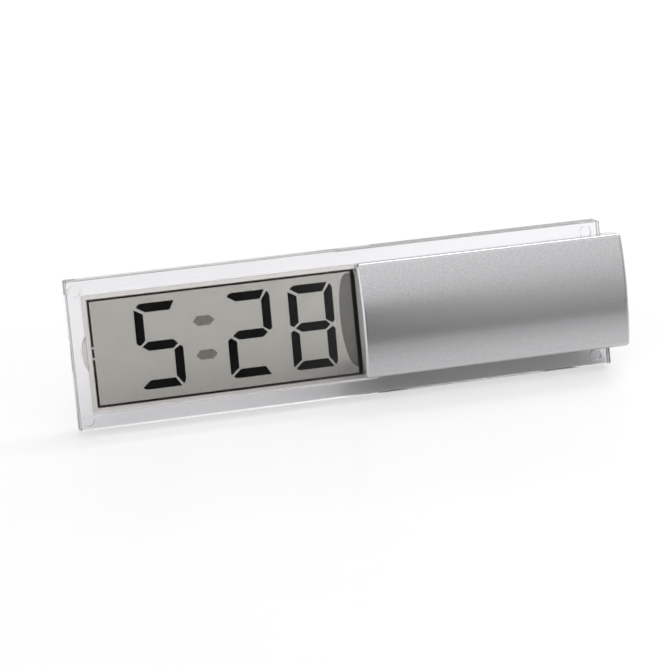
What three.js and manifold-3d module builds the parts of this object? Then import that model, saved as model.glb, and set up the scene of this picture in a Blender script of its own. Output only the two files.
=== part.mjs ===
import * as THREE from 'three';
import { mergeVertices } from 'three/addons/utils/BufferGeometryUtils.js';
import Module from 'manifold-3d';

const wasm = await Module();
wasm.setup();

// A see-through desk clock: two clear plates hold a liquid crystal display, a silver
// cover and a barrel-backed housing close over their right half, and the whole thing
// leans back on the housing's keel.
//
// It is drawn upright first. u runs right along the plates, v runs up them, and n comes
// out of the front plate, whose front face is n = 0. Depths count backwards from there.

// Plates
const leanAngle = THREE.MathUtils.degToRad(19);
const plateLength = 102;
const plateHeight = 27.4;
const plateCorner = 0.25;
const plateDraft = 0.25;
const edgeBreak = 0.1;
const frontPlateThickness = 1.6;
const backPlateThickness = 2.7;
const pegRadius = 1.05;
const pegInset = 1.8;
const pegLeftInset = 1.45;
const pegRightInset = 2.65;
const pegHeight = 0.6;
const pegClearance = 0.06;

// Display
const glassMargin = 2.6;
const glassHeight = 21.6;
const glassThickness = 0.55;
const filmThickness = 0.2;
const filmInset = 0.8;
const sealLength = 50.2;
const sealInset = 0.9;
const sealWidth = 0.5;
const sealThickness = 0.15;
const fillPort = 2.4;
const ledgeWidth = 3.1;
const beadHeight = 6.6;
const beadWidth = 0.8;
const pocketClearance = 0.3;
const pocketDepth = 1.9;
const zebraWidth = 1.8;
const zebraLength = 13.6;
const zebraClearance = 0.25;

// Fits
const layerGap = 0.05;
const seatGap = 0.1;
const slideGap = 0.15;
const looseGap = 0.3;

// Front cover
const coverOverlap = 0.3;
const coverHeight = 21.7;
const coverRise = 0.37;
const coverSide = 2.4;
const coverArch = 1.5;
const coverWall = 1.2;
const coverFillet = 0.8;
const coverRound = 0.75;
const coverReach = 0.9;
const coverLip = 2.2;
const coverRib = 0.8;
const endRound = 0.5;

// Battery cell, a standard slim cylinder
const cellDiameter = 10.5;
const cellLength = 44.5;
const nubDiameter = 3.8;
const nubLength = 0.8;
const cellRound = 0.4;

// Circuit board and what is on it
const boardThickness = 0.8;
const boardSetback = 0.3;
const boardEdge = 0.5;
const boardTail = 3;
const chipRadius = 3;
const chipHeight = 0.75;
const chipAlong = 8;
const crystalRadius = 1;
const crystalLength = 6;
const capacitorLength = 2;
const capacitorWidth = 1.25;
const capacitorHeight = 0.8;
const switchLength = 4.6;
const switchDepth = 2.8;
const switchHeight = 1.5;
const plungerRadius = 0.8;
const plungerHeight = 0.4;

// Rear housing and its door
const housingStep = 0.2;
const housingWall = 1.2;
const barrelDrop = 0.2;
const cellFrontRoom = 1.05;
const cellSetback = 1.9;
const cellRoom = 0.45;
const doorThickness = 1.3;
const doorStart = 5.9;
const doorHalfAngle = THREE.MathUtils.degToRad(50);
const tongueAngle = THREE.MathUtils.degToRad(4.5);
const tongueThickness = 0.5;
const railAngle = THREE.MathUtils.degToRad(44);
const railSpan = THREE.MathUtils.degToRad(17);
const railFloor = 0.7;
const gripCount = 6;
const gripPitch = 1.5;
const gripWidth = 0.7;
const gripDepth = 0.4;
const gripAngle = THREE.MathUtils.degToRad(24);
const gripStart = 4;
const cradleCount = 3;
const cradleThickness = 1;
const cradleTop = 2.4;
const keelFront = 5.6;
const keelRear = 10.2;
const keelDraft = 0.6;
const keelInset = 5.4;
const keelCorner = 1.5;
const stakeRadius = 0.7;
const stakeBlock = 3;
const stakeDepth = 1.3;

// Contacts
const contactThickness = 0.4;
const contactSize = 8;
const contactTab = 2.4;
const springReach = 2.1;
const springStrip = 4;
const dimpleRadius = 1.8;
const dimpleHeight = 0.3;

// Buttons and snap hooks
const buttonLength = 6;
const buttonWidth = 2.6;
const buttonProud = 0.55;
const buttonTravel = 0.5;
const capRound = 0.35;
const flangeRim = 0.35;
const flangeHeight = 0.5;
const buttonDepth = 2.9;
const setButtonAlong = 17.4;
const buttonPitch = 12;
const hookWidth = 3;
const hookThickness = 0.9;
const hookNose = 0.7;
const hookTaper = 1.6;
const hookLedge = 1;
const hookInset = 7.4;
const rightHookInset = 9.85;
const stakeInset = 15;

// How finely round shapes are cut
const arcSegments = 10;
const barrelSegments = 28;
const roundSegments = 3;
const turnSegments = 24;
const weldTolerance = 1e-4;
const overshoot = 2;

// Worked out from the sizes above
const plateRight = plateLength / 2;
const plateTop = plateHeight / 2;
const backPlateFront = frontPlateThickness + seatGap;
const plateStack = backPlateFront + backPlateThickness;
const plateRoomRight = plateRight + plateDraft + slideGap;

const glassLeft = glassMargin - plateRight;
const sealLeft = glassLeft + sealInset;
const sealRight = sealLeft + sealLength;
const backGlassRight = sealRight + sealInset;
const frontGlassRight = backGlassRight + ledgeWidth;
const zebraCentre = backGlassRight + ledgeWidth / 2;
const frontFilm = frontPlateThickness + layerGap;
const frontGlass = frontFilm + filmThickness + layerGap;
const seal = frontGlass + glassThickness + layerGap;
const backGlass = seal + sealThickness + layerGap;
const backFilm = backGlass + glassThickness + layerGap;

const boardFront = plateStack + boardSetback;
const boardRear = boardFront + boardThickness;

const cellRadius = cellDiameter / 2;
const cellDepth = boardRear + cellFrontRoom + cellRadius;
const barrelDepth = cellDepth - cellSetback;
const barrelV = -barrelDrop;
const doorInner = cellSetback + cellRadius + cellRoom;
const barrelRadius = doorInner + doorThickness;
const barrelInner = barrelRadius - housingWall;
const grooveFloor = doorInner - slideGap;

const coverLeft = sealRight - coverOverlap;
const coverTop = coverRise + coverHeight / 2;
const coverBottom = coverRise - coverHeight / 2;
const coverCrest = coverSide + coverArch;
const housingLeft = coverLeft + housingStep;
const roomLeft = housingLeft + housingWall;
const negativeLeft = roomLeft + looseGap;
const cellLeft = negativeLeft + contactThickness + springReach + slideGap;
const cellRight = cellLeft + cellLength;
const positiveLeft = cellRight + slideGap + dimpleHeight;
const roomRight = positiveLeft + contactThickness + slideGap;
const housingRight = roomRight + housingWall;
const coverRight = housingRight + coverReach;
const boardLeft = roomLeft + looseGap;
const boardRight = roomRight - boardTail;

const buttonLine = plateStack + buttonDepth;
const buttonTop = barrelV + barrelRadius + buttonProud;
const flangeTop = barrelV + barrelInner - slideGap;
const flangeBottom = flangeTop - flangeHeight;
const plungerTop = flangeBottom - buttonTravel - layerGap;
const switchTop = plungerTop - plungerHeight;
const buttonsAlong = [
  housingLeft + setButtonAlong,
  housingLeft + setButtonAlong + buttonPitch,
];
const hooksAlong = [housingLeft + hookInset, housingRight - rightHookInset];
const stakesAlong = [housingLeft + stakeInset, housingRight - stakeInset];
const doorLeft = housingLeft + doorStart;

// How far the plates' moulded edge has widened at a depth behind the front face.
function draftAt(depth) {
  return plateDraft * depth / plateStack;
}

// The table's line under the clock: it passes through the back plate's lower rear edge.
function tableV(depth) {
  const edgeDepth = plateStack - edgeBreak;
  const edgeV = -plateTop - draftAt(edgeDepth);
  return (depth - edgeDepth) * Math.tan(leanAngle) + edgeV;
}

function toSolid(geometry) {
  const bare = geometry.clone();
  bare.deleteAttribute('normal');
  bare.deleteAttribute('uv');
  const welded = mergeVertices(bare, weldTolerance);
  return new wasm.Manifold(new wasm.Mesh({
    numProp: 3,
    vertProperties: welded.attributes.position.array,
    triVerts: Uint32Array.from(welded.index.array),
  }));
}

function toGeometry(solid) {
  const mesh = solid.getMesh();
  const geometry = new THREE.BufferGeometry();
  geometry.setAttribute('position', new THREE.BufferAttribute(mesh.vertProperties, 3));
  geometry.setIndex(new THREE.BufferAttribute(mesh.triVerts, 1));
  geometry.computeVertexNormals();
  return geometry;
}

// A box between limits along u and v and between two depths.
function block([uLow, uHigh], [vLow, vHigh], [front, back]) {
  const geometry = new THREE.BoxGeometry(uHigh - uLow, vHigh - vLow, back - front);
  geometry.translate((uLow + uHigh) / 2, (vLow + vHigh) / 2, -(front + back) / 2);
  return toSolid(geometry);
}

// A round pin along n, between two depths.
function pin(radius, u, v, [front, back]) {
  const geometry = new THREE.CylinderGeometry(radius, radius, back - front, turnSegments);
  geometry.rotateX(Math.PI / 2);
  geometry.translate(u, v, -(front + back) / 2);
  return toSolid(geometry);
}

// An outline in u and v, thickened between two depths, with its rims bevelled.
function slabGeometry(outline, [front, back], bevel = 0) {
  const geometry = new THREE.ExtrudeGeometry(outline, {
    depth: back - front - 2 * bevel,
    curveSegments: arcSegments,
    bevelEnabled: bevel > 0,
    bevelSize: bevel,
    bevelThickness: bevel,
    bevelOffset: -bevel,
    bevelSegments: 1,
  });
  geometry.translate(0, 0, bevel - back);
  return geometry;
}

function slab(outline, span) {
  return toSolid(slabGeometry(outline, span));
}

// A section drawn in depth and v, swept along u, with its end edges rounded.
function sweep(section, [uLow, uHigh], round = 0, curveSegments = arcSegments) {
  const geometry = new THREE.ExtrudeGeometry(section, {
    depth: uHigh - uLow - 2 * round,
    curveSegments,
    bevelEnabled: round > 0,
    bevelSize: round,
    bevelThickness: round,
    bevelOffset: -round,
    bevelSegments: roundSegments,
  });
  geometry.rotateY(Math.PI / 2);
  geometry.translate(uLow + round, 0, 0);
  return toSolid(geometry);
}

function rectangle([uLow, uHigh], [vLow, vHigh], radius = 0) {
  const shape = new THREE.Shape();
  if (radius === 0) {
    shape.moveTo(uLow, vLow);
    shape.lineTo(uHigh, vLow);
    shape.lineTo(uHigh, vHigh);
    shape.lineTo(uLow, vHigh);
    shape.closePath();
    return shape;
  }
  const quarter = Math.PI / 2;
  shape.absarc(uHigh - radius, vLow + radius, radius, -quarter, 0, false);
  shape.absarc(uHigh - radius, vHigh - radius, radius, 0, quarter, false);
  shape.absarc(uLow + radius, vHigh - radius, radius, quarter, Math.PI, false);
  shape.absarc(uLow + radius, vLow + radius, radius, Math.PI, Math.PI + quarter, false);
  shape.closePath();
  return shape;
}

// Part of a ring round the barrel's axis; angle 0 points straight back.
function ringSector(inner, outer, from, to) {
  const shape = new THREE.Shape();
  shape.absarc(barrelDepth, barrelV, outer, from, to, false);
  shape.absarc(barrelDepth, barrelV, inner, to, from, true);
  shape.closePath();
  return shape;
}

function circle(depth, v, radius) {
  const shape = new THREE.Shape();
  shape.absarc(depth, v, radius, 0, 2 * Math.PI, false);
  return shape;
}

function around(centre, size) {
  return [centre - size / 2, centre + size / 2];
}

// Limits of a snap hook's leg and of the room that it needs, above or below the board.
function hookLimits(side) {
  const wall = barrelV + side * barrelInner;
  const outer = wall - side * (hookNose - looseGap);
  const inner = outer - side * hookThickness;
  return { wall, outer, inner, tip: outer + side * hookNose };
}

function ordered(first, second) {
  return [Math.min(first, second), Math.max(first, second)];
}

function forEachHook(visit) {
  for (const along of hooksAlong) {
    for (const side of [1, -1]) {
      visit(along, side, hookLimits(side));
    }
  }
}

// Slots through the plates, one for each snap hook.
function cutHookSlots(solid, [front, back]) {
  let cut = solid;
  forEachHook((along, side, { inner, tip }) => {
    const v = ordered(inner - side * looseGap, tip + side * looseGap);
    cut = cut.subtract(block(around(along, hookWidth + 2 * looseGap), v, [front, back]));
  });
  return cut;
}

function forEachCorner(visit) {
  for (const u of [pegLeftInset - plateRight, plateRight - pegRightInset]) {
    for (const v of [pegInset - plateTop, plateTop - pegInset]) {
      visit(u, v);
    }
  }
}

function plateOutline() {
  return rectangle([-plateRight, plateRight], [-plateTop, plateTop], plateCorner);
}

// A plate before it is cut, with its edge wider at the back as a mould leaves it.
function plateBlank(span) {
  const geometry = slabGeometry(plateOutline(), span, edgeBreak);
  const points = geometry.attributes.position;
  for (let i = 0; i < points.count; i += 1) {
    const widening = draftAt(-points.getZ(i));
    points.setX(i, points.getX(i) * (1 + widening / plateRight));
    points.setY(i, points.getY(i) * (1 + widening / plateTop));
  }
  return toSolid(geometry);
}

function frontPlate() {
  let plate = plateBlank([0, frontPlateThickness]);
  const holeFloor = backPlateFront - pegHeight - pegClearance;
  forEachCorner((u, v) => {
    const hole = pin(pegRadius + pegClearance, u, v, [holeFloor, backPlateFront]);
    plate = plate.subtract(hole);
  });
  return cutHookSlots(plate, [-overshoot, backPlateFront]);
}

// The lens outline of the glue bead that closes the display's fill port.
function beadOutline(grow = 0) {
  const halfHeight = beadHeight / 2 + grow;
  const reach = beadWidth + grow;
  const radius = (halfHeight ** 2 + reach ** 2) / (2 * reach);
  const halfAngle = Math.asin(halfHeight / radius);
  const shape = new THREE.Shape();
  const centre = glassLeft - layerGap - grow - reach + radius + grow;
  shape.absarc(centre, 0, radius, Math.PI - halfAngle, Math.PI + halfAngle, false);
  shape.closePath();
  return shape;
}

function backPlate() {
  let plate = plateBlank([backPlateFront, plateStack]);
  const pocketFloor = backPlateFront + pocketDepth;
  const pocketSpan = [backPlateFront - overshoot, pocketFloor];
  const pocketHalf = glassHeight / 2 + pocketClearance;
  const pocketU = [glassLeft - pocketClearance, frontGlassRight + pocketClearance];
  plate = plate.subtract(block(pocketU, [-pocketHalf, pocketHalf], pocketSpan));
  plate = plate.subtract(slab(beadOutline(pocketClearance), pocketSpan));
  const slotU = around(zebraCentre, zebraWidth + 2 * zebraClearance);
  const slotV = around(barrelV, zebraLength + 2 * zebraClearance);
  plate = plate.subtract(block(slotU, slotV, [pocketFloor - overshoot, plateStack + overshoot]));
  forEachCorner((u, v) => {
    const root = backPlateFront + backPlateThickness / 2;
    plate = plate.add(pin(pegRadius, u, v, [backPlateFront - pegHeight, root]));
  });
  return cutHookSlots(plate, [backPlateFront, plateStack + overshoot]);
}

function displayLayer(right, inset, front, thickness) {
  const half = glassHeight / 2 - inset;
  return block([glassLeft + inset, right], [-half, half], [front, front + thickness]);
}

// The black frame between the glasses, open at the fill port on the left.
function displaySeal() {
  const half = glassHeight / 2 - sealInset + seatGap;
  const span = [seal, seal + sealThickness];
  const inside = half - sealWidth;
  const outer = block([sealLeft, sealRight], [-half, half], span);
  const through = [seal - overshoot, seal + overshoot];
  const window = block([sealLeft + sealWidth, sealRight - sealWidth], [-inside, inside], through);
  const port = block(around(sealLeft, 2 * sealWidth + overshoot), around(0, fillPort), through);
  return outer.subtract(window).subtract(port);
}

// The cover's arched section, from behind the plates' mid depth up to the crest.
function coverSection(inset, back) {
  const half = coverHeight / 2;
  const archRadius = (half ** 2 + coverArch ** 2) / (2 * coverArch);
  const centre = archRadius - coverCrest;
  const radius = archRadius - inset;
  const side = half - inset;
  const fillet = Math.max(coverFillet - inset, seatGap);
  const halfAngle = Math.asin((side - fillet) / radius);
  const shoulder = centre - Math.sqrt(radius ** 2 - side ** 2);
  const shape = new THREE.Shape();
  shape.moveTo(back, coverRise - side);
  shape.lineTo(shoulder + fillet, coverRise - side);
  const archStart = new THREE.Vector2(Math.cos(halfAngle), Math.sin(halfAngle)).multiplyScalar(radius);
  shape.quadraticCurveTo(shoulder, coverRise - side, centre - archStart.x, coverRise - archStart.y);
  shape.absarc(centre, coverRise, radius, Math.PI + halfAngle, Math.PI - halfAngle, true);
  shape.quadraticCurveTo(shoulder, coverRise + side, shoulder + fillet, coverRise + side);
  shape.lineTo(back, coverRise + side);
  shape.closePath();
  return shape;
}

// One cantilever hook: a leg through the plates and a tapered nose behind the ledge.
function snapHook(along, side, { inner, outer, tip }) {
  const ledge = plateStack + hookLedge;
  const end = ledge + hookTaper;
  const span = around(along, hookWidth);
  const leg = block(span, ordered(inner, outer), [-coverCrest, end]);
  const nose = new THREE.Shape();
  nose.moveTo(ledge, (inner + outer) / 2);
  nose.lineTo(ledge, tip);
  nose.lineTo(end, outer);
  nose.lineTo(end, (inner + outer) / 2);
  nose.closePath();
  return leg.add(sweep(nose, span));
}

function frontCover() {
  const beyond = coverLip + overshoot;
  let cover = sweep(coverSection(0, beyond), [coverLeft, coverRight], coverRound);
  const roomU = [coverLeft + coverWall, coverRight - coverWall];
  const all = [coverBottom - overshoot, coverTop + overshoot];
  const room = sweep(coverSection(coverWall, beyond + overshoot), roomU);
  const rib = block(around((coverLeft + plateRight) / 2, coverRib), all, [-coverCrest, -seatGap]);
  cover = cover.subtract(room.subtract(rib));
  const behindPlate = [coverLeft - overshoot, plateRoomRight];
  const plateRoom = block(behindPlate, all, [-seatGap, beyond + overshoot]);
  const lipTrim = block([plateRight, coverRight + overshoot], all, [coverLip, beyond + overshoot]);
  return cover.subtract(plateRoom).subtract(lipTrim).add(coverHooks());
}

// The space under the cover's skin and behind it in which a hook may stand.
function hookEnvelope(along) {
  const span = around(along, hookWidth);
  return sweep(coverSection(coverWall / 2, plateStack + hookLedge + hookTaper + overshoot), span);
}

function coverHooks() {
  let hooks;
  forEachHook((along, side, limits) => {
    const hook = snapHook(along, side, limits).intersect(hookEnvelope(along));
    hooks = hooks ? hooks.add(hook) : hook;
  });
  return hooks;
}

function barrelSection(radius, front) {
  const shape = new THREE.Shape();
  const quarter = Math.PI / 2;
  shape.moveTo(front, barrelV - radius);
  shape.lineTo(front, barrelV + radius);
  shape.absarc(barrelDepth, barrelV, radius, quarter, -quarter, true);
  shape.closePath();
  return shape;
}

// The barrel's outside, with rounded ends, shared by the housing and its door.
function barrelBody() {
  const section = barrelSection(barrelRadius, -overshoot);
  return sweep(section, [housingLeft, housingRight], endRound, barrelSegments);
}

function keel() {
  const front = plateStack + keelFront;
  const rear = plateStack + keelRear;
  const root = barrelRadius - housingWall / 2;
  const rootFront = front - keelDraft;
  const rootRear = rear + keelDraft;
  const rootV = (depth) => barrelV - Math.sqrt(root ** 2 - (depth - barrelDepth) ** 2);
  const shape = new THREE.Shape();
  shape.moveTo(front, tableV(front));
  shape.lineTo(rear, tableV(rear));
  shape.absarc(
    barrelDepth,
    barrelV,
    root,
    Math.atan2(rootV(rootRear) - barrelV, rootRear - barrelDepth),
    Math.atan2(rootV(rootFront) - barrelV, rootFront - barrelDepth),
    true,
  );
  shape.closePath();
  const bar = sweep(shape, [housingLeft + keelInset, housingRight - keelInset]);
  const length = housingRight - housingLeft - 2 * keelInset;
  const width = rootRear - rootFront;
  const plan = rectangle(around(0, length), around(0, width), keelCorner);
  const middle = (housingLeft + housingRight) / 2;
  return bar.intersect(raise(plan, [-plateHeight, 0], middle, (rootFront + rootRear) / 2));
}

// Low ribs that carry the cell from below.
function cradles() {
  const lip = [barrelV - barrelRadius + housingWall / 2, barrelV - cradleTop];
  const depths = [boardRear + looseGap, cellDepth + cradleTop];
  const clear = sweep(circle(cellDepth, barrelV, cellRadius + looseGap), [cellLeft, cellRight]);
  const pitch = cellLength / (cradleCount + 1);
  let ribs;
  for (let i = 1; i <= cradleCount; i += 1) {
    const rib = block(around(cellLeft + i * pitch, cradleThickness), lip, depths);
    ribs = ribs ? ribs.add(rib) : rib;
  }
  return ribs.subtract(clear);
}

// Two blocks on the lower wall whose pegs stake the circuit board.
function stakes() {
  const wallV = barrelV - barrelInner;
  const stakeV = wallV + stakeBlock / 2 + boardEdge;
  const front = boardRear + seatGap;
  let all;
  for (const along of stakesAlong) {
    const body = block(
      around(along, stakeBlock),
      [wallV - housingWall / 2, wallV + boardEdge + stakeBlock],
      [front, front + stakeDepth],
    );
    const peg = pin(stakeRadius, along, stakeV, [boardFront - slideGap, front + stakeDepth / 2]);
    const stake = body.add(peg);
    all = all ? all.add(stake) : stake;
  }
  return all;
}

function doorRails() {
  const outer = barrelRadius - housingWall / 2;
  const inner = grooveFloor - railFloor;
  const span = [roomLeft - housingWall / 2, roomRight + housingWall / 2];
  const upper = sweep(ringSector(inner, outer, railAngle, railAngle + railSpan), span);
  const lower = sweep(ringSector(inner, outer, -railAngle - railSpan, -railAngle), span);
  return upper.add(lower);
}

// Everything that the door needs cut from the barrel: its recess and its two grooves.
function doorPassage() {
  const span = [doorLeft - slideGap, housingRight + overshoot];
  const edge = doorHalfAngle + slideGap / barrelRadius;
  const recess = sweep(ringSector(grooveFloor, barrelRadius + overshoot, -edge, edge), span);
  const grooveTop = doorInner + tongueThickness + slideGap;
  const reach = edge + tongueAngle + slideGap / barrelRadius;
  const grooves = sweep(ringSector(grooveFloor, grooveTop, -reach, reach), span);
  return recess.add(grooves);
}

function rearHousing() {
  const front = coverLip + looseGap;
  const room = sweep(
    barrelSection(barrelInner, -2 * overshoot),
    [roomLeft, roomRight],
    0,
    barrelSegments,
  );
  const all = [-plateHeight, plateHeight];
  const plateU = [housingLeft - overshoot, plateRoomRight];
  const plateRoom = block(plateU, all, [-2 * overshoot, plateStack + seatGap]);
  const frontTrim = block([plateRight, housingRight + overshoot], all, [-2 * overshoot, front]);
  let housing = barrelBody().subtract(room);
  housing = housing.add(doorRails()).add(keel()).add(cradles()).add(stakes());
  housing = housing.subtract(plateRoom).subtract(frontTrim).subtract(doorPassage());
  forEachHook((along, side, { wall, tip }) => {
    const v = ordered(wall - side * overshoot, tip + side * looseGap);
    const ledge = plateStack + hookLedge;
    const depths = [ledge - slideGap, ledge + hookTaper + looseGap];
    const recess = block(around(along, hookWidth + 2 * looseGap), v, depths);
    housing = housing.subtract(recess);
  });
  for (const along of buttonsAlong) {
    const hole = buttonOutline(slideGap);
    housing = housing.subtract(raise(hole, [flangeTop, buttonTop + overshoot], along, buttonLine));
  }
  return housing;
}

function batteryDoor() {
  const panelAngle = doorHalfAngle;
  const span = [doorLeft, housingRight + overshoot];
  const panel = sweep(ringSector(doorInner, barrelRadius + overshoot, -panelAngle, panelAngle), span);
  const reach = panelAngle + tongueAngle;
  const tongue = ringSector(doorInner, doorInner + tongueThickness, -reach, reach);
  let door = panel.add(sweep(tongue, span)).intersect(barrelBody());
  const grip = ringSector(barrelRadius - gripDepth, barrelRadius + overshoot, -gripAngle, gripAngle);
  for (let i = 0; i < gripCount; i += 1) {
    const along = doorLeft + gripStart + i * gripPitch;
    door = door.subtract(sweep(grip, around(along, gripWidth)));
  }
  return door;
}

function buttonOutline(grow) {
  const u = around(0, buttonLength + 2 * grow);
  const depth = around(0, buttonWidth + 2 * grow);
  return rectangle(u, depth, buttonWidth / 2 + grow);
}

// An outline in u and depth, raised along v between two heights. With a round, its top rim
// is rounded, and a rounded root reaches as far below the lower height.
function raise(outline, [low, high], along, depth, round = 0) {
  const geometry = new THREE.ExtrudeGeometry(outline, {
    depth: high - low - round,
    curveSegments: arcSegments,
    bevelEnabled: round > 0,
    bevelSize: round,
    bevelThickness: round,
    bevelOffset: -round,
    bevelSegments: roundSegments,
  });
  geometry.rotateX(-Math.PI / 2);
  geometry.translate(along, low, -depth);
  return toSolid(geometry);
}

function pushButton(along) {
  const cap = raise(buttonOutline(0), [flangeTop, buttonTop], along, buttonLine, capRound);
  const flange = raise(buttonOutline(flangeRim), [flangeBottom, flangeTop], along, buttonLine);
  return cap.add(flange);
}

function sideSwitch(along) {
  const depths = [boardRear + layerGap, boardRear + layerGap + switchDepth];
  const body = block(around(along, switchLength), [switchTop - switchHeight, switchTop], depths);
  const geometry = new THREE.CylinderGeometry(
    plungerRadius,
    plungerRadius,
    plungerHeight + switchHeight / 2,
    turnSegments,
  );
  const middle = plungerTop - (plungerHeight + switchHeight / 2) / 2;
  geometry.translate(along, middle, -buttonLine);
  return body.add(toSolid(geometry));
}

function circuitBoard() {
  const low = barrelV - barrelInner + boardEdge;
  const high = barrelV + barrelInner - boardEdge;
  const span = [boardFront, boardRear];
  const through = [boardFront - overshoot, boardRear + overshoot];
  let board = block([boardLeft, boardRight], [low, high], span);
  forEachHook((along, side, { inner }) => {
    const v = ordered(inner - side * looseGap, side * plateHeight);
    board = board.subtract(block(around(along, hookWidth + 2 * looseGap), v, through));
  });
  const stakeV = barrelV - barrelInner + stakeBlock / 2 + boardEdge;
  for (const along of stakesAlong) {
    board = board.subtract(pin(stakeRadius + slideGap, along, stakeV, through));
  }
  return board;
}

function chipBlob() {
  const domeRadius = (chipRadius ** 2 + chipHeight ** 2) / (2 * chipHeight);
  const halfAngle = Math.asin(chipRadius / domeRadius);
  const profile = [new THREE.Vector2(0, 0), new THREE.Vector2(chipRadius, 0)];
  for (let i = 1; i <= arcSegments; i += 1) {
    const angle = halfAngle * (1 - i / arcSegments);
    const height = chipHeight - domeRadius * (1 - Math.cos(angle));
    profile.push(new THREE.Vector2(domeRadius * Math.sin(angle), height));
  }
  const geometry = new THREE.LatheGeometry(profile, turnSegments);
  geometry.rotateX(-Math.PI / 2);
  geometry.translate(boardLeft + chipAlong, barrelV, -boardRear - layerGap);
  return toSolid(geometry);
}

function crystalCan(along, v) {
  const geometry = new THREE.CapsuleGeometry(
    crystalRadius,
    crystalLength - 2 * crystalRadius,
    roundSegments,
    turnSegments,
  );
  geometry.rotateZ(Math.PI / 2);
  geometry.translate(along, v, -boardRear - layerGap - crystalRadius);
  return toSolid(geometry);
}

function capacitor(along, v) {
  const front = boardRear + layerGap;
  return block(
    around(along, capacitorLength),
    around(v, capacitorWidth),
    [front, front + capacitorHeight],
  );
}

// The cell is turned about its own axis, with its positive nub at the right.
function batteryCell() {
  const shoulder = cellLength - nubLength;
  const nub = nubDiameter / 2;
  const profile = [
    new THREE.Vector2(0, 0),
    new THREE.Vector2(cellRadius - cellRound, 0),
    new THREE.Vector2(cellRadius, cellRound),
    new THREE.Vector2(cellRadius, shoulder - cellRound),
    new THREE.Vector2(cellRadius - cellRound, shoulder),
    new THREE.Vector2(nub, shoulder),
    new THREE.Vector2(nub, cellLength),
    new THREE.Vector2(0, cellLength),
  ];
  const geometry = new THREE.LatheGeometry(profile, turnSegments);
  geometry.rotateZ(-Math.PI / 2);
  geometry.translate(cellLeft, barrelV, -cellDepth);
  return toSolid(geometry);
}

// A contact's end plate with the tab that meets the circuit board.
function contactPlate(left) {
  const u = [left, left + contactThickness];
  const plate = block(u, around(barrelV, contactSize), around(cellDepth, contactSize));
  const tab = block(u, around(barrelV, contactTab), [boardRear + layerGap, cellDepth]);
  return plate.add(tab);
}

function positiveContact() {
  const geometry = new THREE.CylinderGeometry(
    dimpleRadius,
    dimpleRadius,
    dimpleHeight + contactThickness / 2,
    turnSegments,
  );
  geometry.rotateZ(Math.PI / 2);
  const middle = positiveLeft - (dimpleHeight - contactThickness / 2) / 2;
  geometry.translate(middle, barrelV, -cellDepth);
  return contactPlate(positiveLeft).add(toSolid(geometry));
}

// The negative contact carries a bowed leaf that presses on the cell's flat end.
function negativeContact() {
  const base = negativeLeft + contactThickness / 2;
  const reach = springReach + contactThickness / 2;
  const half = contactSize / 2 - contactThickness;
  const radius = (half ** 2 + reach ** 2) / (2 * reach);
  const halfAngle = Math.asin(half / radius);
  const centre = base + reach - radius;
  const leaf = new THREE.Shape();
  leaf.absarc(centre, 0, radius, -halfAngle, halfAngle, false);
  leaf.absarc(centre, 0, radius - contactThickness, halfAngle, -halfAngle, true);
  leaf.closePath();
  const geometry = new THREE.ExtrudeGeometry(leaf, {
    depth: springStrip,
    curveSegments: arcSegments,
    bevelEnabled: false,
  });
  geometry.rotateX(-Math.PI / 2);
  geometry.translate(0, barrelV - springStrip / 2, -cellDepth);
  return contactPlate(negativeLeft).add(toSolid(geometry));
}

const clearPlastic = { color: 0xf2f5f5, roughness: 0.06, opacity: 0.22, transparent: true };
const displayGlass = { color: 0xd9dcd2, roughness: 0.05, opacity: 0.3, transparent: true };
const polariser = { color: 0xa9aca0, roughness: 0.2, opacity: 0.5, transparent: true };
const silverPaint = { color: 0xb9babd, roughness: 0.38, metalness: 0.55 };
const blackInk = { color: 0x1b1a18, roughness: 0.6 };
const glue = { color: 0xe6e3d6, roughness: 0.3, opacity: 0.55, transparent: true };
const greyRubber = { color: 0x53555a, roughness: 0.8 };
const greenLaminate = { color: 0x2f6b43, roughness: 0.55 };
const blackResin = { color: 0x141414, roughness: 0.45 };
const nickel = { color: 0xc3c1ba, roughness: 0.3, metalness: 0.9 };
const tanCeramic = { color: 0xa98b63, roughness: 0.6 };
const darkPlastic = { color: 0x2b2c2e, roughness: 0.55 };
const cellJacket = { color: 0x7d858c, roughness: 0.35, metalness: 0.4 };

const plates = new THREE.Group();
plates.name = 'clock';

function place(name, solid, finish) {
  const mesh = new THREE.Mesh(toGeometry(solid), new THREE.MeshStandardMaterial(finish));
  mesh.name = name;
  plates.add(mesh);
}

place('front_plate', frontPlate(), clearPlastic);
place('back_plate', backPlate(), clearPlastic);
place('display_front_film', displayLayer(backGlassRight, filmInset, frontFilm, filmThickness), polariser);
place('display_front_glass', displayLayer(frontGlassRight, 0, frontGlass, glassThickness), displayGlass);
place('display_seal', displaySeal(), blackInk);
place('display_back_glass', displayLayer(backGlassRight, 0, backGlass, glassThickness), displayGlass);
place('display_back_film', displayLayer(sealRight, filmInset, backFilm, filmThickness), polariser);
place('display_end_bead', slab(beadOutline(), [frontGlass, backGlass + glassThickness]), glue);
place('zebra_strip', zebraStrip(), greyRubber);
place('front_cover', frontCover(), silverPaint);
place('rear_housing', rearHousing(), silverPaint);
place('battery_door', batteryDoor(), silverPaint);
place('battery_cell', batteryCell(), cellJacket);
place('positive_contact', positiveContact(), nickel);
place('negative_contact', negativeContact(), nickel);
place('circuit_board', circuitBoard(), greenLaminate);
place('chip_blob', chipBlob(), blackResin);

function zebraStrip() {
  const front = frontGlass + glassThickness + layerGap;
  const depths = [front, boardFront - layerGap];
  return block(around(zebraCentre, zebraWidth), around(barrelV, zebraLength), depths);
}

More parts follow.
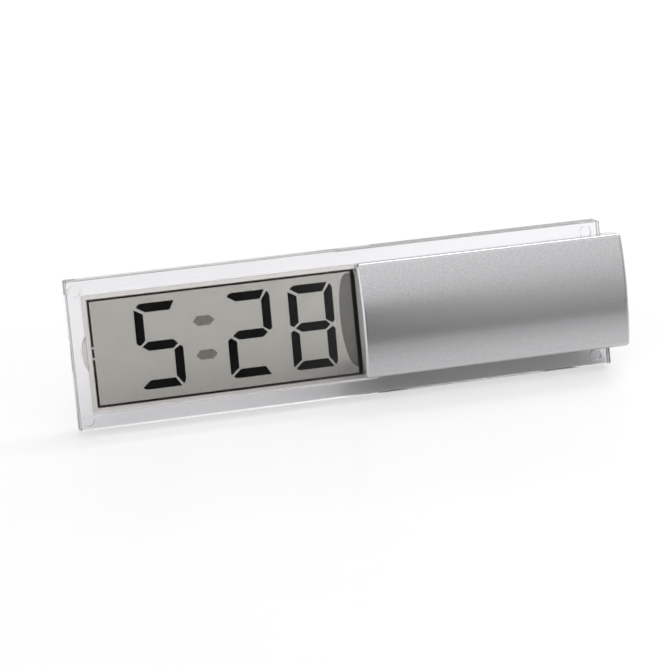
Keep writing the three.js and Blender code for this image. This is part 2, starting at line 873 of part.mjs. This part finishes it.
const partsRowV = (switchTop + plungerTop) / 2 - switchHeight;
const crystalAlong = buttonsAlong[1] + buttonPitch / 2 + crystalLength / 4;
const capacitorsAlong = [
  buttonsAlong[0] + buttonPitch / 2 - capacitorLength,
  buttonsAlong[0] + buttonPitch / 2 + capacitorLength,
];
place('crystal_can', crystalCan(crystalAlong, partsRowV), nickel);
place('capacitor_left', capacitor(capacitorsAlong[0], partsRowV), tanCeramic);
place('capacitor_right', capacitor(capacitorsAlong[1], partsRowV), tanCeramic);
place('set_switch', sideSwitch(buttonsAlong[0]), darkPlastic);
place('adjust_switch', sideSwitch(buttonsAlong[1]), darkPlastic);
place('set_button', pushButton(buttonsAlong[0]), darkPlastic);
place('adjust_button', pushButton(buttonsAlong[1]), darkPlastic);

// Lean the clock back and stand it on the table, with its box centred over the origin.
plates.rotation.x = Math.PI / 2 - leanAngle;
const box = new THREE.Box3().setFromObject(plates, true);
plates.position.set(-(box.min.x + box.max.x) / 2, -(box.min.y + box.max.y) / 2, -box.min.z);

const clock = new THREE.Group();
clock.add(plates);

export default clock;
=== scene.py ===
import math

import bmesh
import bpy
from mathutils import Matrix, Vector


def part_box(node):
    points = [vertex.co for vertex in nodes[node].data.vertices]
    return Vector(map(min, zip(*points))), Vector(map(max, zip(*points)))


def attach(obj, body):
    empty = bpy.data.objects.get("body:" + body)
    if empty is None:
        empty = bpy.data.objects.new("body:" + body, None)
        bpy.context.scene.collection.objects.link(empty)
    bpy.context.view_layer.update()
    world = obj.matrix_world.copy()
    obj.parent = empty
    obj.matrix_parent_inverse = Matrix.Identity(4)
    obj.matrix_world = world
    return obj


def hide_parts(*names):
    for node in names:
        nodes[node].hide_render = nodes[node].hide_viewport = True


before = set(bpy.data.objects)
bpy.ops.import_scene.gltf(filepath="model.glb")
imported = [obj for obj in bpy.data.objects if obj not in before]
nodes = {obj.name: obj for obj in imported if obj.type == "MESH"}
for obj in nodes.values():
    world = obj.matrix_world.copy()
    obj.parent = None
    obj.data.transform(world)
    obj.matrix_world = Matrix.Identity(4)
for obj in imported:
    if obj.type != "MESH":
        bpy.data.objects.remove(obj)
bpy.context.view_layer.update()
scene = bpy.context.scene
scene.view_settings.view_transform = "Standard"
millimetre = 0.001
samePoint = 1e-7  # metres within which two corners are one

# The plates' own frame: u right along them, v up them, n out of the front face.
plates = {
    "lean": 19,
    "glassU": -20.85,  # the middle of the display's front glass
    "glassN": -2.175,
}
lean = math.radians(plates["lean"])
alongU = Vector((1, 0, 0))
alongV = Vector((0, math.sin(lean), math.cos(lean)))
alongN = Vector((0, -math.cos(lean), math.sin(lean)))
glassLow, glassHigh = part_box("display_front_glass")
glassMiddle = (alongU * plates["glassU"] + alongN * plates["glassN"]) * millimetre
plateOrigin = (glassLow + glassHigh) / 2 - glassMiddle


def onPlate(u, v, n):
    return plateOrigin + (alongU * u + alongV * v + alongN * n) * millimetre


def addPiece(name, mesh, body="clock"):
    piece = bpy.data.objects.new(name, mesh)
    scene.collection.objects.link(piece)
    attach(piece, body)
    return piece


def meshFrom(name, work, *materials):
    bmesh.ops.remove_doubles(work, verts=work.verts, dist=samePoint)
    bmesh.ops.recalc_face_normals(work, faces=work.faces)
    mesh = bpy.data.meshes.new(name)
    work.to_mesh(mesh)
    work.free()
    for material in materials:
        mesh.materials.append(material)
    return mesh


# An outline in u and v, thickened along n
def prism(work, outline, low, high):
    front = [work.verts.new(onPlate(u, v, high)) for u, v in outline]
    back = [work.verts.new(onPlate(u, v, low)) for u, v in outline]
    work.faces.new(front)
    work.faces.new(list(reversed(back)))
    for k in range(len(outline)):
        after = (k + 1) % len(outline)
        work.faces.new([front[after], front[k], back[k], back[after]])


# Shader node helpers
grain = {
    "detail": 3.0,
    "darkStop": 0.3,
    "lightStop": 0.7,
    "bumpDepth": 0.0001,
}


def addNode(tree, kind, values, links):
    node = tree.nodes.new(kind)
    for socket, value in values.items():
        node.inputs[socket].default_value = value
    for socket, source in links.items():
        tree.links.new(source, node.inputs[socket])
    return node


def noiseOf(tree, scale, stretch):
    source = tree.nodes.new("ShaderNodeTexCoord").outputs["Object"]
    if stretch:
        mapping = addNode(tree, "ShaderNodeMapping", {"Scale": stretch}, {"Vector": source})
        source = mapping.outputs["Vector"]
    values = {"Scale": scale, "Detail": grain["detail"]}
    return addNode(tree, "ShaderNodeTexNoise", values, {"Vector": source}).outputs["Fac"]


def rampOf(tree, factor, dark, light):
    ramp = addNode(tree, "ShaderNodeValToRGB", {}, {"Fac": factor})
    first, last = ramp.color_ramp.elements
    first.position, first.color = grain["darkStop"], (*dark, 1)
    last.position, last.color = grain["lightStop"], (*light, 1)
    return ramp.outputs["Color"]


def rangeOf(tree, value, low, high):
    limits = {"To Min": low, "To Max": high}
    return addNode(tree, "ShaderNodeMapRange", limits, {"Value": value}).outputs["Result"]


def easedRange(tree, value, span, low=0.0, high=1.0):
    limits = {"From Min": span[0], "From Max": span[1], "To Min": low, "To Max": high}
    eased = addNode(tree, "ShaderNodeMapRange", limits, {"Value": value})
    eased.interpolation_type = "SMOOTHSTEP"
    return eased.outputs["Result"]


def combined(tree, operation, first, second):
    node = addNode(tree, "ShaderNodeMath", {}, {0: first, 1: second})
    node.operation = operation
    return node.outputs["Value"]


def multiplied(tree, first, *others):
    for other in others:
        first = combined(tree, "MULTIPLY", first, other)
    return first


def mottled(name, dark, light, scale, rough, settings=None, bump=0.0, stretch=None):
    material = bpy.data.materials.new(name)
    material.use_nodes = True
    tree = material.node_tree
    shader = tree.nodes["Principled BSDF"]
    for socket, value in (settings or {}).items():
        shader.inputs[socket].default_value = value
    speckle = noiseOf(tree, scale, stretch)
    tree.links.new(rampOf(tree, speckle, dark, light), shader.inputs["Base Color"])
    tree.links.new(rangeOf(tree, speckle, *rough), shader.inputs["Roughness"])
    if bump:
        values = {"Strength": bump, "Distance": grain["bumpDepth"]}
        relief = addNode(tree, "ShaderNodeBump", values, {"Height": speckle})
        tree.links.new(relief.outputs["Normal"], shader.inputs["Normal"])
    return material


# Materials
clearPlastic = mottled(
    "clearPlastic", dark=(0.972, 0.966, 0.977), light=(0.986, 0.980, 0.991),
    scale=60, rough=(0.0, 0.02), settings={"Transmission Weight": 1.0, "IOR": 1.49},
)
displayGlass = mottled(
    "displayGlass", dark=(0.80, 0.775, 0.735), light=(0.87, 0.845, 0.81),
    scale=80, rough=(0.0, 0.02), settings={"Transmission Weight": 1.0, "IOR": 1.51},
)
polariserFilm = mottled(
    "polariserFilm", dark=(0.50, 0.497, 0.449), light=(0.528, 0.525, 0.475),
    scale=300, rough=(0.0, 0.03), settings={"Transmission Weight": 1.0, "IOR": 1.51},
)
sealInk = mottled(
    "sealInk", dark=(0.085, 0.078, 0.068), light=(0.12, 0.11, 0.098),
    scale=900, rough=(0.5, 0.7),
)
digitInk = mottled(
    "digitInk", dark=(0.006, 0.005, 0.006), light=(0.014, 0.012, 0.013),
    scale=700, rough=(0.4, 0.6),
)
dashInk = mottled(
    "dashInk", dark=(0.03, 0.03, 0.028), light=(0.05, 0.05, 0.046),
    scale=700, rough=(0.4, 0.6), settings={"Alpha": 0.36},
)
endGlue = mottled(
    "endGlue", dark=(0.68, 0.635, 0.565), light=(0.83, 0.795, 0.735),
    scale=700, rough=(0.0, 0.06), settings={"Transmission Weight": 1.0, "IOR": 1.56},
)
silverPaint = mottled(
    "silverPaint", dark=(0.485, 0.48, 0.492), light=(0.585, 0.58, 0.592),
    scale=3600, rough=(0.14, 0.19),
    settings={"Metallic": 0.75, "Coat Weight": 0.12, "Coat Roughness": 0.12},
)
rearSilver = mottled(
    "rearSilver", dark=(0.335, 0.332, 0.34), light=(0.41, 0.407, 0.415),
    scale=3600, rough=(0.34, 0.42),
    settings={"Metallic": 0.5, "Coat Weight": 0.05, "Coat Roughness": 0.3},
)
zebraRubber = mottled(
    "zebraRubber", dark=(0.06, 0.06, 0.065), light=(0.35, 0.35, 0.36),
    scale=2600, rough=(0.7, 0.9), stretch=(0.02, 1, 1),
)
cellJacket = mottled(
    "cellJacket", dark=(0.30, 0.33, 0.36), light=(0.42, 0.45, 0.48),
    scale=260, rough=(0.25, 0.4), settings={"Metallic": 0.6}, stretch=(0.2, 1, 1),
)
nickelPlate = mottled(
    "nickelPlate", dark=(0.62, 0.60, 0.55), light=(0.76, 0.74, 0.70),
    scale=1500, rough=(0.22, 0.38), settings={"Metallic": 1.0}, stretch=(1, 0.1, 1),
)
boardLaminate = mottled(
    "boardLaminate", dark=(0.05, 0.20, 0.09), light=(0.09, 0.30, 0.14),
    scale=900, rough=(0.45, 0.65), bump=0.1,
)
blackResin = mottled(
    "blackResin", dark=(0.008, 0.008, 0.009), light=(0.03, 0.03, 0.03),
    scale=1200, rough=(0.3, 0.5), bump=0.1,
)
tanCeramic = mottled(
    "tanCeramic", dark=(0.42, 0.31, 0.2), light=(0.56, 0.44, 0.3),
    scale=2500, rough=(0.5, 0.7),
)
switchPlastic = mottled(
    "switchPlastic", dark=(0.02, 0.02, 0.021), light=(0.05, 0.05, 0.052),
    scale=2500, rough=(0.5, 0.65), bump=0.1,
)
buttonPlastic = mottled(
    "buttonPlastic", dark=(0.13, 0.133, 0.14), light=(0.19, 0.193, 0.20),
    scale=3500, rough=(0.45, 0.6), bump=0.12,
)

nodeMaterials = {
    "front_plate": clearPlastic,
    "back_plate": clearPlastic,
    "display_end_bead": endGlue,
    "zebra_strip": zebraRubber,
    "front_cover": silverPaint,
    "rear_housing": rearSilver,
    "battery_door": rearSilver,
    "battery_cell": cellJacket,
    "positive_contact": nickelPlate,
    "negative_contact": nickelPlate,
    "circuit_board": boardLaminate,
    "chip_blob": blackResin,
    "crystal_can": nickelPlate,
    "capacitor_left": tanCeramic,
    "capacitor_right": tanCeramic,
    "set_switch": switchPlastic,
    "adjust_switch": switchPlastic,
    "set_button": buttonPlastic,
    "adjust_button": buttonPlastic,
}
for nodeName, material in nodeMaterials.items():
    mesh = nodes[nodeName].data
    mesh.materials.clear()
    mesh.materials.append(material)
print("stage: materials on the solids")

# Round faces are shaded smooth and real edges stay sharp; the flat plates need neither.
smoothing = {
    "weldWithin": 1e-6,
    "edgeAngle": 32,
}


def smoothRounds(node):
    node.data.shade_smooth()
    welded = node.modifiers.new("welded", "WELD")
    welded.merge_threshold = smoothing["weldWithin"]
    split = node.modifiers.new("realEdges", "EDGE_SPLIT")
    split.split_angle = math.radians(smoothing["edgeAngle"])
    weighted = node.modifiers.new("evenNormals", "WEIGHTED_NORMAL")
    weighted.mode = "FACE_AREA_WITH_ANGLE"


for nodeName in nodeMaterials:
    if not nodeName.endswith("_plate"):
        smoothRounds(nodes[nodeName])

# The display: one laminated panel, stepped in n over a grid of columns and rows
panel = {
    "us": [-48.4, -47.6, 2.7, 3.6, 6.7],
    "vs": [-10.8, -10.0, 10.0, 10.8],
    "columns": ["bare", "bothFilms", "frontFilm", "ledge"],
    "rows": ["bare", "films", "bare"],
    "frontFilm": -1.65,
    "frontGlass": -1.9,
    "ledge": -2.45,
    "backGlass": -3.25,
    "backFilm": -3.5,
    "glassIndex": 0,
    "filmIndex": 1,
    "leastStep": 1e-6,
}


# Front, back and material of one cell, or None beside the panel
def panelCell(i, j):
    if i < 0 or j < 0 or i >= len(panel["columns"]) or j >= len(panel["rows"]):
        return None
    column = panel["columns"][i]
    if column == "ledge":
        return panel["frontGlass"], panel["ledge"], panel["glassIndex"]
    if column == "bare" or panel["rows"][j] == "bare":
        return panel["frontGlass"], panel["backGlass"], panel["glassIndex"]
    back = panel["backFilm"] if column == "bothFilms" else panel["backGlass"]
    return panel["frontFilm"], back, panel["filmIndex"]


def quad(work, corners, materialIndex):
    face = work.faces.new([work.verts.new(onPlate(*corner)) for corner in corners])
    face.material_index = materialIndex


def wall(work, first, second, low, high):
    if high - low > panel["leastStep"]:
        corners = [(*first, low), (*second, low), (*second, high), (*first, high)]
        quad(work, corners, panel["glassIndex"])


def buildPanel():
    work = bmesh.new()
    us, vs = panel["us"], panel["vs"]
    for i in range(len(us) - 1):
        for j in range(len(vs) - 1):
            front, back, index = panelCell(i, j)
            left, right, low, high = us[i], us[i + 1], vs[j], vs[j + 1]
            corners = [(left, low), (right, low), (right, high), (left, high)]
            quad(work, [(*corner, front) for corner in corners], index)
            quad(work, [(*corner, back) for corner in reversed(corners)], index)
            around = [(i, j - 1), (i + 1, j), (i, j + 1), (i - 1, j)]
            for k, beside in enumerate(around):
                first, second = corners[k], corners[(k + 1) % len(corners)]
                other = panelCell(*beside)
                if other is None:
                    wall(work, first, second, back, front)
                    continue
                wall(work, first, second, max(other[0], back), front)
                wall(work, first, second, back, min(other[1], front))
    mesh = meshFrom("displayPanel", work, displayGlass, polariserFilm)
    piece = addPiece("displayPanel", mesh)
    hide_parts("display_front_film", "display_front_glass", "display_back_glass", "display_back_film")


buildPanel()

# The black line round the display, with two small breaks at its fill port
line = {
    "left": -47.5,
    "right": 2.7,
    "half": 10.0,
    "width": 0.42,
    "rightWidth": 0.75,
    "leftBars": [(-10.0, -1.12, 0.42), (-0.70, 0.88, 0.38), (1.30, 10.0, 0.42)],  # from, to, width
    "low": -2.62,
    "high": -2.53,
}


def buildLine():
    work = bmesh.new()
    left, right, half, width = line["left"], line["right"], line["half"], line["width"]
    inner = half - width

    def bar(u0, u1, v0, v1):
        prism(work, [(u0, v0), (u1, v0), (u1, v1), (u0, v1)], line["low"], line["high"])

    bar(left, right, inner, half)
    bar(left, right, -half, -inner)
    bar(right - line["rightWidth"], right, -inner, inner)
    for v0, v1, thick in line["leftBars"]:
        shift = (width - thick) / 2
        bar(left + shift, left + shift + thick, max(v0, -inner), min(v1, inner))
    mesh = meshFrom("displayLine", work, sealInk)
    piece = addPiece("displayLine", mesh)
    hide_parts("display_seal")


buildLine()

# The picture: seven-segment digits and the two dashes between hours and minutes
picture = {
    "digits": [("5", -34.94), ("2", -17.97), ("8", -6.02)],
    "centreV": 0.20,
    "scale": 1.012,
    "slant": 0.009,
    "low": -2.60,
    "high": -2.55,
    "dashCentre": -26.40,
    "dashHeights": [3.74, -2.61],
    "dashHalf": (2.02, 0.90),
    "dashPoint": 0.88,
}
segments = {
    "a": [(-3.75, 7.25), (-3.4, 7.66), (-2.85, 7.88), (3.3, 7.88), (2.38, 6.23), (-2.12, 6.23)],
    "b": [(3.78, 7.6), (4.22, 6.8), (4.22, 0.64), (3.72, 0.26), (2.57, 1.04), (2.57, 5.95)],
    "c": [
        (3.73, -0.40), (4.22, -0.80), (4.22, -6.7), (4.08, -7.15), (3.76, -7.56),
        (2.57, -5.9), (2.57, -1.14),
    ],
    "d": [(-2.24, -6.23), (2.34, -6.23), (3.4, -7.88), (-2.9, -7.88), (-3.45, -7.72), (-3.75, -7.45)],
    "e": [(-3.58, -0.38), (-2.56, -1.15), (-2.56, -5.95), (-4.06, -7.2), (-4.2, -6.85), (-4.2, -0.78)],
    "f": [(-4.2, 6.85), (-2.56, 5.88), (-2.56, 1.02), (-3.58, 0.2), (-4.2, 0.64)],
    "g": [(-3.22, -0.05), (-2.1, 0.82), (2.5, 0.82), (3.34, -0.02), (2.45, -0.84), (-2.05, -0.84)],
}
litSegments = {"5": "afgcd", "2": "abged", "8": "abcdefg"}


def slanted(u, v, centre):
    u, v = u * picture["scale"], v * picture["scale"]
    return centre + u + picture["slant"] * v, picture["centreV"] + v


def buildPicture():
    low, high = picture["low"], picture["high"]
    for figure, centre in picture["digits"]:
        work = bmesh.new()
        for letter in litSegments[figure]:
            prism(work, [slanted(u, v, centre) for u, v in segments[letter]], low, high)
        mesh = meshFrom("digit" + figure, work, digitInk)
        addPiece("digit" + figure, mesh)
    work = bmesh.new()
    halfU, halfV = picture["dashHalf"]
    flat = halfU - picture["dashPoint"]
    outline = [(-halfU, 0), (-flat, -halfV), (flat, -halfV), (halfU, 0), (flat, halfV), (-flat, halfV)]
    for height in picture["dashHeights"]:
        placed = [(picture["dashCentre"] + u, height + v) for u, v in outline]
        prism(work, placed, low, high)
    mesh = meshFrom("dashes", work, dashInk)
    addPiece("dashes", mesh)


buildPicture()
print("stage: display")

# The floor: pale paper with a share of its own white, seen straight, mirrored or through glass
floorPaper = {
    "size": 6.0,
    "cells": 8,
    "dark": (0.945, 0.945, 0.945),
    "light": (0.965, 0.965, 0.965),
    "scale": 40,
    "rough": (0.11, 0.17),
    "white": 0.60,
    "mirrorShare": 0.06,
    "throughShare": 0.2,
}


def buildFloor():
    paper = mottled(
        "floorPaper", floorPaper["dark"], floorPaper["light"], floorPaper["scale"], floorPaper["rough"],
    )
    tree = paper.node_tree
    rays = tree.nodes.new("ShaderNodeLightPath")
    mirrored = rangeOf(tree, rays.outputs["Is Glossy Ray"], 0.0, floorPaper["mirrorShare"])
    through = rangeOf(tree, rays.outputs["Is Transmission Ray"], 0.0, floorPaper["throughShare"])
    indirect = combined(tree, "MAXIMUM", mirrored, through)
    seen = combined(tree, "MAXIMUM", rays.outputs["Is Camera Ray"], indirect)
    blend = addNode(tree, "ShaderNodeMixShader", {}, {
        "Fac": rangeOf(tree, seen, 0.0, floorPaper["white"]),
        1: tree.nodes["Principled BSDF"].outputs["BSDF"],
        2: tree.nodes.new("ShaderNodeEmission").outputs["Emission"],
    })
    tree.links.new(blend.outputs["Shader"], tree.nodes["Material Output"].inputs["Surface"])
    work = bmesh.new()
    cells = floorPaper["cells"]
    bmesh.ops.create_grid(work, x_segments=cells, y_segments=cells, size=floorPaper["size"] / 2)
    floor = bpy.data.objects.new("floor", meshFrom("floor", work, paper))
    scene.collection.objects.link(floor)


# The studio's light, by direction: each span is where a glow starts and where it is full
ceilingGlow = {
    "strength": 1.33,
    "lean": 32,  # degrees towards the viewer
    "span": (0.33, 1.15),
}
wallGlow = {
    "ahead": 0.04,
    "side": 0.355,
    "sideSpan": (-0.75, -0.2),
    "back": 1.9,
    "backSpan": (0.0, 0.6),
    "left": 0.4,
    "right": 1.95,
    "rightSpan": (-0.5, 0.6),
}
softbox = {
    "strength": 1.4,
    "leftSpan": (-0.45, -0.75),
    "topSpan": (0.7, 0.4),
    "backSpan": (0.2, -0.1),
}
darkRoom = {
    "depth": 0.97,
    "rightSpan": (0.30, 0.16),
    "leftSpan": (-0.45, -0.25),
    "aheadSpan": (-0.5, -0.8),
    "topSpan": (0.44, 0.28),
}
keyStrip = {
    "place": (0.75, 0.45, 1.1),  # it shines straight down
    "size": (1.4, 0.17),
    "power": 6.2,
}


def buildSky():
    world = bpy.data.worlds.new("studio")
    scene.world = world
    world.use_nodes = True
    tree = world.node_tree
    direction = tree.nodes.new("ShaderNodeTexCoord").outputs["Generated"]
    split = addNode(tree, "ShaderNodeSeparateXYZ", {}, {"Vector": direction})
    x, y, z = (split.outputs[axis] for axis in "XYZ")
    tilt = math.radians(ceilingGlow["lean"])
    middle = (0, -math.sin(tilt), math.cos(tilt))
    facing = addNode(tree, "ShaderNodeVectorMath", {1: middle}, {0: direction})
    facing.operation = "DOT_PRODUCT"
    ceiling = easedRange(tree, facing.outputs["Value"], ceilingGlow["span"])
    walls = multiplied(
        tree,
        easedRange(tree, y, wallGlow["sideSpan"], wallGlow["ahead"], wallGlow["side"]),
        easedRange(tree, y, wallGlow["backSpan"], 1.0, wallGlow["back"]),
        easedRange(tree, x, wallGlow["rightSpan"], wallGlow["left"], wallGlow["right"]),
        rangeOf(tree, ceiling, 1.0, 0.0),
    )
    box = multiplied(
        tree,
        easedRange(tree, x, softbox["leftSpan"], 0.0, softbox["strength"]),
        easedRange(tree, z, softbox["topSpan"]),
        easedRange(tree, y, softbox["backSpan"]),
    )
    room = multiplied(
        tree,
        easedRange(tree, x, darkRoom["rightSpan"]),
        easedRange(tree, x, darkRoom["leftSpan"]),
        easedRange(tree, y, darkRoom["aheadSpan"]),
        easedRange(tree, z, darkRoom["topSpan"]),
    )
    sky = combined(tree, "ADD", walls, rangeOf(tree, ceiling, 0.0, ceilingGlow["strength"]))
    sky = combined(tree, "ADD", sky, box)
    sky = multiplied(tree, sky, rangeOf(tree, room, 1.0, 1.0 - darkRoom["depth"]))
    tree.links.new(sky, tree.nodes["Background"].inputs["Strength"])
    tree.nodes["Background"].inputs["Color"].default_value = (1, 1, 1, 1)


def buildKey():
    lamp = bpy.data.lights.new("key", "AREA")
    lamp.shape = "RECTANGLE"
    lamp.size, lamp.size_y = keyStrip["size"]
    lamp.energy = keyStrip["power"]
    key = bpy.data.objects.new("key", lamp)
    scene.collection.objects.link(key)
    key.location = keyStrip["place"]


view = {
    "place": (-0.091050, -0.376668, 0.194755),
    "azimuth": -13.194,
    "elevation": 25.510,
    "roll": -1.300,
    "lens": 122.382,
    "sensor": 36,
    "nearest": 0.01,
}


def buildCamera():
    lens = bpy.data.cameras.new("camera")
    lens.sensor_width = view["sensor"]
    lens.lens = view["lens"]
    lens.clip_start = view["nearest"]
    camera = bpy.data.objects.new("camera", lens)
    scene.collection.objects.link(camera)
    azimuth, elevation = math.radians(view["azimuth"]), math.radians(view["elevation"])
    back = Vector((
        math.sin(azimuth) * math.cos(elevation),
        -math.cos(azimuth) * math.cos(elevation),
        math.sin(elevation),
    ))
    right = (-back).cross(Vector((0, 0, 1))).normalized()
    up = right.cross(-back)
    roll = math.radians(view["roll"])
    tiltedRight = right * math.cos(roll) + up * math.sin(roll)
    tiltedUp = up * math.cos(roll) - right * math.sin(roll)
    turn = Matrix((tiltedRight, tiltedUp, back)).transposed()
    camera.matrix_world = Matrix.Translation(view["place"]) @ turn.to_4x4()
    scene.camera = camera


buildFloor()
buildSky()
buildKey()
buildCamera()
print("stage: floor, light and camera")
